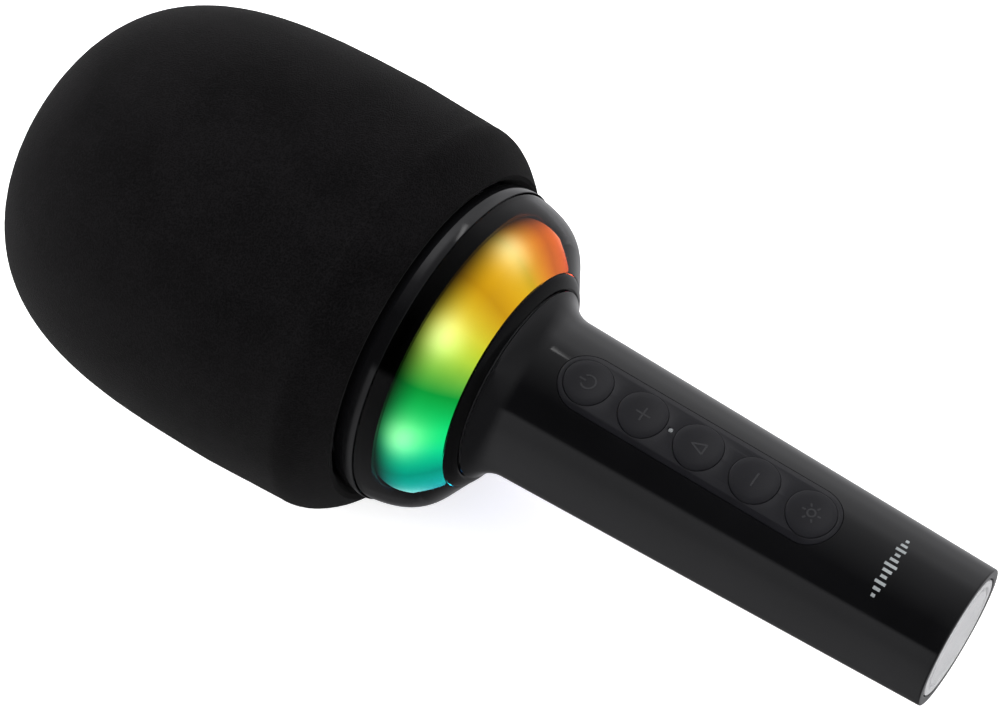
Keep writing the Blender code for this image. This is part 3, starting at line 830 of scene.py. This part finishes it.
def make_collar():
    gloss = gloss_finish("collar_piano_black", roughness=0.09)
    lip = bezier((38.0, 139.4), (40.2, 139.2), (COLLAR_RADIUS, 135.6), 12)
    # The points from (37.9, 133.7) down to (35.4, 129.8) are a dark skirt inside the cover over the
    # diffuser's upper edge: painted shade that darkens the cover's top.
    outline = lip + [
        (COLLAR_RADIUS, 133.1),
        (40.1, 133.0),
        (40.05, 133.7),
        (37.9, 133.7),
        (37.0, 129.8),
        (35.4, 129.8),
        (35.4, 134.3),
        (22.6, 134.3),
        (22.6, 136.3),
        (37.3, 136.3),
        (37.3, 139.4),
    ]
    collar = lathe("gloss_collar", rounded(outline, 0.25), FINE)
    dress(collar, gloss, "body", "collar_gloss", "upper_collar")

    bead = bezier((RIM_RADIUS, 116.75), (27.1, 115.85), (25.0, 115.0), 10)
    outline = [(RIM_RADIUS, 117.2)] + bead + [(24.1, 115.1), (24.1, 117.2)]
    rim = lathe("gloss_rim", rounded(outline, 0.12), FINE)
    black = gloss_finish("rim_black", (0.0016, 0.0016, 0.0017), 0.16, 0.14)
    dress(rim, black, "body", "rim_gloss", "rim_ring")


def make_light_ring():
    height = cone_height(COVER_FOOT)
    foot = (COVER_FOOT, height)
    foot_inside = (COVER_FOOT, height + 0.4)
    bend_inside = (33.3, 122.1)
    outside = bezier(COVER_TOP, SHOULDER_BEND, CONE_HIGH, 28)
    outside += straight(CONE_HIGH, foot, 8)
    inside = straight(foot_inside, bend_inside, 6)
    inside += bezier(bend_inside, (37.0, 124.8), (38.2, COVER_TOP[1]), 24)
    cover = lathe("smoked_cover", rounded(outside + [foot, foot_inside] + inside, 0.2), FINE)
    dress(cover, smoke_finish("smoked_plastic"), "body", "smoked_clear", "light_cover")

    front_waist = (33.9, 125.0)
    back_waist = (32.6, 125.4)
    front = bezier((33.4, 133.5), (36.0, 129.2), front_waist, 20)
    front += bezier(front_waist, (33.0, 122.7), (27.4, 117.35), 20)[1:]
    back = bezier((27.4, 118.2), (31.6, 122.3), back_waist, 12)
    back += bezier(back_waist, (34.6, 129.3), (32.2, 133.2), 12)[1:]
    diffuser = lathe("glowing_diffuser", rounded(front + back, 0.2), FINE)
    dress(diffuser, light_finish("rainbow_light"), "body", "milky_diffuser", "light_diffuser")


# Handle


def make_handle():
    gloss = gloss_finish("handle_piano_black")
    flare = []
    steps = 24
    for i in range(steps + 1):
        turn = FLARE_TURN * (1 - i / steps)
        radius = handle_radius(FLARE_START) + FLARE_RADIUS * (1 - math.cos(turn))
        flare.append((radius, FLARE_START + FLARE_RADIUS * math.sin(turn)))
    top = flare[0][1]
    tail = (TAIL_RADIUS, 0.0)
    outline = flare + straight(flare[-1], tail, 12) + [
        tail,
        (14.7, 0.0),
        (14.7, 1.9),
        (15.9, 2.1),
        (15.9, 9.5),
        (handle_radius(9.5) - HANDLE_WALL, 9.5),
        (NECK_RADIUS - HANDLE_WALL, NECK_HEIGHT),
        (NECK_RADIUS - HANDLE_WALL, 110.0),
        (22.3, top),
    ]
    tube = lathe("gloss_handle", rounded(outline, 0.35), FINE)
    slot = prism("slot", panel_outline(PANEL_CLEARANCE, 96), 5.0, 26.0)
    mouth = prism("mouth", mouth_outline(), -22.0, -8.0)
    boolean(tube, slot)
    boolean(tube, mouth)
    bake(tube, [slot, mouth])
    dress(tube, gloss, "body", "handle_gloss", "handle_tube")


def panel_outline(margin, sides):
    """The button panel's outline, made wider all round by a margin."""
    return pill_outline(PANEL_RADIUS + margin, PANEL_LENGTH + 2 * margin, PANEL_CENTRE, sides)


def mouth_outline():
    """The charging mouth's outline: a pill that lies across the handle."""
    pill = pill_outline(MOUTH_RADIUS, MOUTH_LENGTH, 0.0, 40)
    return [(MOUTH_HEIGHT + across, height) for height, across in pill]


def make_panel():
    skin = lathe("skin", handle_core(0.0), FINE, closed=False)
    inside = lathe("inside", handle_core(HANDLE_WALL + 0.3), 128, closed=False)
    panel = prism("button_pad", panel_outline(0.0, 96), PANEL_BACK, 26.0)
    lip = prism("lip", panel_outline(PANEL_LIP, 48), PANEL_BACK, 24.0)
    boolean(lip, inside, "INTERSECT")
    boolean(panel, skin, "INTERSECT")
    boolean(panel, lip, "UNION")
    helpers = [skin, inside, lip]
    for height in BUTTON_HEIGHTS:
        hole = prism("hole", circle(BUTTON_RADIUS + BUTTON_CLEARANCE, height, BUTTON_SIDES), 8.0, 30.0)
        boolean(panel, hole)
        helpers.append(hole)
    pipe = prism("pipe", circle(STATUS_RADIUS, STATUS_HEIGHT, 24), 8.0, 30.0)
    boolean(panel, pipe)
    helpers.append(pipe)
    soften(panel, 0.08)
    bake(panel, helpers)
    satin = satin_finish("pad_satin_black", (0.0048, 0.0047, 0.0060), 0.36, specular=0.3)
    dress(panel, satin, "body", "panel_soft", "button_panel")


def handle_core(depth):
    """Outline of the handle's solid along the buttons, as deep under its skin as depth says."""
    low, high = 20.0, 108.0
    return [(0.0, high), (handle_radius(high) - depth, high), (handle_radius(low) - depth, low), (0.0, low)]


def circle(radius, centre, sides):
    """Points of a circle on the button side, as (height, across)."""
    turns = [2 * math.pi * i / sides for i in range(sides)]
    return [(centre + radius * math.cos(turn), radius * math.sin(turn)) for turn in turns]


def dish(distance):
    """How far a button's top stands proud of the handle, at a distance from its centre."""
    if distance <= DISH_RADIUS:
        return RIM_PROUD - DISH_DEPTH * math.cos(distance / DISH_RADIUS * math.pi / 2) ** 1.2
    if distance <= EDGE_START:
        return RIM_PROUD
    past = (distance - EDGE_START) / EDGE_WIDTH
    return RIM_PROUD - EDGE_DROP * (1 - math.sqrt(max(0.0, 1 - past ** 2)))


def level_ring(shape, radius, height, level, sides):
    """A level ring of new points round a height on the button side."""
    points = circle(radius, height, sides)
    return [shape.verts.new(Vector((-place, across, level)) * MM) for place, across in points]


def make_button(index, height, material):
    """A dished button, with a flange at its foot that keeps it behind the panel."""
    shape = bmesh.new()
    centre = shape.verts.new(on_skin(0.0, height, dish(0.0)))
    rings = []
    for distance in (0.8, 1.6, 2.4, 3.1, 3.8, 4.3, DISH_RADIUS, 5.0, EDGE_START, *EDGE_RINGS, BUTTON_RADIUS):
        points = circle(distance, height, BUTTON_SIDES)
        rings.append([shape.verts.new(on_skin(across, place, dish(distance))) for place, across in points])
    for radius, level in (
        (BUTTON_RADIUS, FLANGE_TOP),
        (FLANGE_RADIUS, FLANGE_TOP),
        (FLANGE_RADIUS, FLANGE_FOOT),
    ):
        rings.append(level_ring(shape, radius, height, level, BUTTON_SIDES))
    for j in range(BUTTON_SIDES):
        k = (j + 1) % BUTTON_SIDES
        shape.faces.new([centre, rings[0][j], rings[0][k]])
    bridge(shape, rings)
    shape.faces.new(rings[-1])
    piece = piece_from(f"press_button_{index}", shape)
    dress(piece, material, f"button_{index}", "button_rubber", f"button_{index}")


def ribbon(shape, points, width, height, proud, thick=0.05):
    """A printed stroke on a button, or on the handle where proud is a number. points are (along, across)."""

    def place(along, across, lift):
        distance = math.hypot(along, across)
        level = dish(distance) if proud is None else proud
        return on_skin(across, height + along, level + lift)

    fine = []
    for a, b in zip(points, points[1:]):
        steps = max(1, int(math.hypot(b[0] - a[0], b[1] - a[1]) / 0.35))
        fine += [(a[0] + (b[0] - a[0]) * i / steps, a[1] + (b[1] - a[1]) * i / steps) for i in range(steps)]
    fine.append(points[-1])
    rings = []
    for i, point in enumerate(fine):
        ahead = Vector(fine[min(i + 1, len(fine) - 1)]) - Vector(fine[max(i - 1, 0)])
        ahead.normalize()
        side = Vector((-ahead.y, ahead.x)) * width / 2
        left = Vector(point) + side
        right = Vector(point) - side
        corners = [(left, thick), (right, thick), (right, -thick), (left, -thick)]
        rings.append([shape.verts.new(place(p.x, p.y, lift)) for p, lift in corners])
    bridge(shape, rings)
    cap_ends(shape, rings)


def on_circle(radius, degrees):
    return (radius * math.cos(math.radians(degrees)), radius * math.sin(math.radians(degrees)))


def arc(radius, start, end, steps=16):
    return [on_circle(radius, start + (end - start) * i / steps) for i in range(steps + 1)]


# Generic signs for the buttons from the head to the tail, as strokes of (along, across) points. The head
# is towards +along.
POWER = [arc(1.7, 40, 320), [(0.7, 0.0), (2.3, 0.0)]]
PLUS = [[(-1.8, 0.0), (1.8, 0.0)], [(0.0, -1.8), (0.0, 1.8)]]
PLAY = [[(-1.5, -1.3), (-1.5, 1.3), (1.7, 0.0), (-1.5, -1.3)]]
MINUS = [[(0.0, -1.8), (0.0, 1.8)]]
SUN = [arc(0.9, 0, 360)] + [[on_circle(1.5, turn), on_circle(2.3, turn)] for turn in range(0, 360, 60)]
SIGNS = [POWER, PLUS, PLAY, MINUS, SUN]


def make_buttons():
    rubber = satin_finish("button_satin_black", (0.0049, 0.0048, 0.0061), 0.38, specular=0.3)
    ink = satin_finish("button_sign_grey", (0.015, 0.015, 0.017), 0.5, specular=0.36)
    for i, height in enumerate(BUTTON_HEIGHTS):
        make_button(i + 1, height, rubber)
        shape = bmesh.new()
        for stroke in SIGNS[i]:
            ribbon(shape, stroke, SIGN_WIDTH, height, None)
        sign = piece_from(f"button_sign_{i + 1}", shape)
        dress(sign, ink, f"button_{i + 1}", "button_rubber")


def make_mark():
    """A generic row of level bars across the front of the tail, printed in light grey."""
    shape = bmesh.new()
    for i, tall in enumerate(MARK_BARS):
        across = (i - (len(MARK_BARS) - 1) / 2) * MARK_PITCH
        stroke = [(-tall / 2, across), (tall / 2, across)]
        ribbon(shape, stroke, MARK_BAR_WIDTH, MARK_HEIGHT, 0.0, 0.03)
    mark = piece_from("level_bar_mark", shape)
    turn = Matrix.Rotation(math.radians(MARK_TURN), 4, "X")
    for vertex in mark.data.vertices:
        vertex.co = turn @ vertex.co
    dress(mark, satin_finish("mark_grey_ink", (0.19, 0.205, 0.21), 0.5), "body", "handle_gloss")


def make_status_light():
    top = handle_radius(STATUS_HEIGHT)
    shape = bmesh.new()
    levels = [(0.55, 10.0), (0.55, top - 0.12), (0.46, top - 0.02), (0.25, top + 0.03)]
    rings = [level_ring(shape, radius, STATUS_HEIGHT, level, 24) for radius, level in levels]
    bridge(shape, rings)
    cap_ends(shape, rings)
    pipe = piece_from("status_lens", shape)
    dress(pipe, clear_finish("clear_pipe", (0.75, 0.78, 0.8)), "body", "pipe_clear", "status_light_pipe")


def make_tail():
    outline = [
        (0.0, 1.9),
        (14.4, 1.9),
        (14.4, 0.0),
        (12.6, 0.0),
        (12.55, 0.5),
        (11.8, 0.5),
        (11.75, 0.0),
        (0.0, 0.0),
    ]
    plate = lathe("tail_disc", rounded(outline, 0.2, closed=False), COARSE, closed=False)
    dress(plate, plate_finish("tail_silver"), "body", "plate_silver", "tail_plate")


# Inside


def numbered(name, count):
    """The names of a numbered set of CAD nodes."""
    return [f"{name}_{i + 1}" for i in range(count)]


def finish_inside():
    """Gives the CAD nodes inside their materials."""
    plastic = satin_finish("inner_plastic", (0.03, 0.03, 0.032), 0.5, 1800, 0.03)
    steel = metal_finish("screw_metal", (0.55, 0.55, 0.57), 0.3)
    repaint(plastic, "head_base", "capsule_post", "capsule_bridge", "tail_plug")
    repaint(steel, *numbered("bridge_screw", 3), *numbered("tail_screw", 2))
    repaint(satin_finish("chassis_grey", (0.09, 0.09, 0.095), 0.5, 1800, 0.03), "chassis")
    repaint(satin_finish("capsule_rubber", (0.02, 0.02, 0.02), 0.7), "capsule_cup", "speaker_surround")
    repaint(metal_finish("capsule_brass", (0.78, 0.55, 0.25), 0.3), "mic_capsule")
    repaint(satin_finish("strip_white", (0.7, 0.7, 0.68), 0.5), "led_strip")
    repaint(clear_finish("led_glass", (0.95, 0.92, 0.85)), *numbered("led", 8), "status_led")
    repaint(metal_finish("pressed_steel", (0.3, 0.3, 0.31), 0.4), "speaker_frame")
    repaint(satin_finish("ferrite", (0.06, 0.06, 0.062), 0.6, 900, 0.08), "speaker_magnet")
    repaint(foam_finish("gasket_foam", (0.01, 0.01, 0.01), (0.05, 0.05, 0.05)), "speaker_gasket")
    repaint(paper_finish("cone_paper", (0.03, 0.03, 0.032)), "speaker_cone")
    repaint(gloss_finish("cap_gloss", (0.02, 0.02, 0.022), 0.25), "dust_cap")
    repaint(wound_finish("coil_copper"), "voice_coil")
    repaint(board_finish("board_green"), "main_board", "charging_board")
    repaint(satin_finish("chip_black", (0.02, 0.02, 0.02), 0.45), "audio_chip")
    repaint(metal_finish("module_tin", (0.62, 0.62, 0.62), 0.35), "radio_module")
    repaint(satin_finish("switch_grey", (0.12, 0.12, 0.13), 0.4), *numbered("button_switch", 5))
    repaint(satin_finish("battery_blue", (0.02, 0.12, 0.5), 0.3, 700, 0.01), "battery")
    repaint(metal_finish("port_steel", (0.6, 0.6, 0.62), 0.28), "charging_port")
    repaint(satin_finish("lead_red", (0.45, 0.02, 0.02), 0.45), "speaker_lead")


# Studio


def make_studio():
    floor_shape = bmesh.new()
    bmesh.ops.create_grid(floor_shape, x_segments=2, y_segments=2, size=FLOOR_HALF)
    floor = piece_from("floor", floor_shape)
    floor.location.z = cad_box[0][2] - FLOOR_GAP
    pale = Finish("pale_floor", (0.86, 0.86, 0.86), 0.7, specular_ior_level=0.1, emission_strength=FLOOR_GLOW)
    pale.shader.inputs["Emission Color"].default_value = WHITE
    pale.colour(pale.blend(pale.noise(3.0), (0.85, 0.85, 0.85), (0.87, 0.87, 0.87)))
    floor.data.materials.append(pale.material)

    make_room()
    overhead = add_light("overhead", (0.0, 0.1, 1.3), (1.8, 1.8), 26, (-0.05, 0.0, 0.0))
    ahead = add_light("ahead", (-1.35, -0.2, 0.2), (0.8, 0.8), 34, (-0.2, 0.0, 0.0))
    beyond = add_light("beyond", (1.3, 0.1, 0.45), (0.8, 0.8), 5.5, (0.0, 0.0, 0.0))
    # A small light that shows as the short highlight beside the first button.
    add_light("spark", (-0.395, 0.68, 0.70), (0.05, 0.26), 0.12, (-0.105, 0.0, 0.02))
    # The floor and the large lights brighten the object, but its gloss shows only the room and the spark.
    for thing in (floor, overhead, ahead, beyond):
        thing.visible_glossy = False
        thing.visible_transmission = False


# The room's brightness by direction, in degrees from +Z towards +Y: beside the handle, beyond the tail
# and ahead of the head. It is dark on the camera's side.
TAIL_ROOM = [
    (-180, 0.09), (-163, 0.15), (-147, 0.28), (-131, 0.42), (-115, 0.53), (-99, 0.58), (-83, 0.52),
    (-64, 0.58), (-59, 0.02), (-24, 0.02), (0, 0.18), (28, 0.40), (45, 0.57), (60, 0.93), (93, 0.85),
    (109, 0.58), (141, 0.54), (165, 0.20), (180, 0.09),
]
FAR_ROOM = [
    (-180, 0.06), (-100, 0.12), (-60, 0.14), (-16, 0.35), (30, 0.28), (54, 0.32), (94, 0.4), (140, 0.3),
    (180, 0.06),
]
HEAD_ROOM = [
    (-180, 0.05), (-150, 0.02), (-24, 0.02), (0, 0.25), (20, 1.2), (35, 1.4), (55, 1.0), (79, 0.7),
    (115, 0.74), (141, 0.5), (165, 0.2), (180, 0.05),
]


def room_colour(level):
    """A level as a faintly cool colour, under the background's strength."""
    grey = level / ROOM_STRENGTH
    return (grey, grey, grey * 1.03, 1)


def make_room():
    """Lights the scene by direction: a ramp round the X axis for each of three bands along it."""
    world = bpy.data.worlds.new("studio")
    scene.world = world
    world.use_nodes = True
    nodes, links = world.node_tree.nodes, world.node_tree.links
    place = nodes.new("ShaderNodeTexCoord")
    parts = nodes.new("ShaderNodeSeparateXYZ")
    links.new(place.outputs["Generated"], parts.inputs[0])
    turn = nodes.new("ShaderNodeMath")
    turn.operation = "ARCTAN2"
    links.new(parts.outputs["Y"], turn.inputs[0])
    links.new(parts.outputs["Z"], turn.inputs[1])
    spread = nodes.new("ShaderNodeMapRange")
    spread.inputs["From Min"].default_value = -math.pi
    spread.inputs["From Max"].default_value = math.pi
    links.new(turn.outputs[0], spread.inputs["Value"])

    def between(low, high):
        """0 to 1 as the direction's X goes from low to high."""
        made = nodes.new("ShaderNodeMapRange")
        made.inputs["From Min"].default_value = low
        made.inputs["From Max"].default_value = high
        links.new(parts.outputs["X"], made.inputs["Value"])
        return made.outputs["Result"]

    def ramp_of(room):
        ramp = nodes.new("ShaderNodeValToRGB")
        links.new(spread.outputs["Result"], ramp.inputs["Fac"])
        stops = ramp.color_ramp.elements
        for stop, (_, level) in zip(stops, (room[0], room[-1])):
            stop.color = room_colour(level)
        for degrees, level in room[1:-1]:
            stops.new((degrees + 180) / 360).color = room_colour(level)
        return ramp.outputs["Color"]

    def mix(factor, first):
        mixed = nodes.new("ShaderNodeMix")
        mixed.data_type = "RGBA"
        links.new(factor, mixed.inputs["Factor"])
        links.new(first, mixed.inputs[MIX_A])
        return mixed

    level = ramp_of(TAIL_ROOM)
    for room, low, high in ((FAR_ROOM, 0.0, 0.45), (HEAD_ROOM, -0.295, -0.335)):
        mixed = mix(between(low, high), level)
        links.new(ramp_of(room), mixed.inputs[MIX_B])
        level = mixed.outputs[MIX_RESULT]
    # The backdrop itself is seen as plain white.
    backdrop = mix(nodes.new("ShaderNodeLightPath").outputs["Is Camera Ray"], level)
    backdrop.inputs[MIX_B].default_value = [channel / ROOM_STRENGTH for channel in WHITE[:3]] + [1]
    background = nodes["Background"]
    links.new(backdrop.outputs[MIX_RESULT], background.inputs["Color"])
    background.inputs["Strength"].default_value = ROOM_STRENGTH


def add_light(name, place, size, power, target):
    data = bpy.data.lights.new(name, "AREA")
    data.shape = "RECTANGLE"
    data.size, data.size_y = size
    data.energy = power
    light = bpy.data.objects.new(name, data)
    light.location = place
    aim = Vector(target) - light.location
    light.rotation_euler = aim.to_track_quat("-Z", "Y").to_euler()
    scene.collection.objects.link(light)
    return light


def make_camera():
    azimuth, elevation = math.radians(CAMERA_AZIMUTH), math.radians(CAMERA_ELEVATION)
    level_reach = math.cos(elevation)
    back = Vector((math.sin(azimuth) * level_reach, -math.cos(azimuth) * level_reach, math.sin(elevation)))
    right = Vector((math.cos(azimuth), math.sin(azimuth), 0.0))
    up = back.cross(right)
    unrolled = Matrix((right, up, back)).transposed()
    data = bpy.data.cameras.new("camera")
    data.lens = CAMERA_LENS
    data.sensor_width = 36.0
    data.clip_start = 0.01
    camera = bpy.data.objects.new("camera", data)
    turn = unrolled @ Matrix.Rotation(math.radians(CAMERA_ROLL), 3, "Z")
    camera.matrix_world = Matrix.Translation(CAMERA_PLACE) @ turn.to_4x4()
    scene.collection.objects.link(camera)
    scene.camera = camera


make_camera()
make_studio()
make_windscreen()
make_grille()
make_collar()
make_light_ring()
make_handle()
make_panel()
make_buttons()
make_mark()
make_status_light()
make_tail()
finish_inside()
scene.view_settings.view_transform = "Standard"
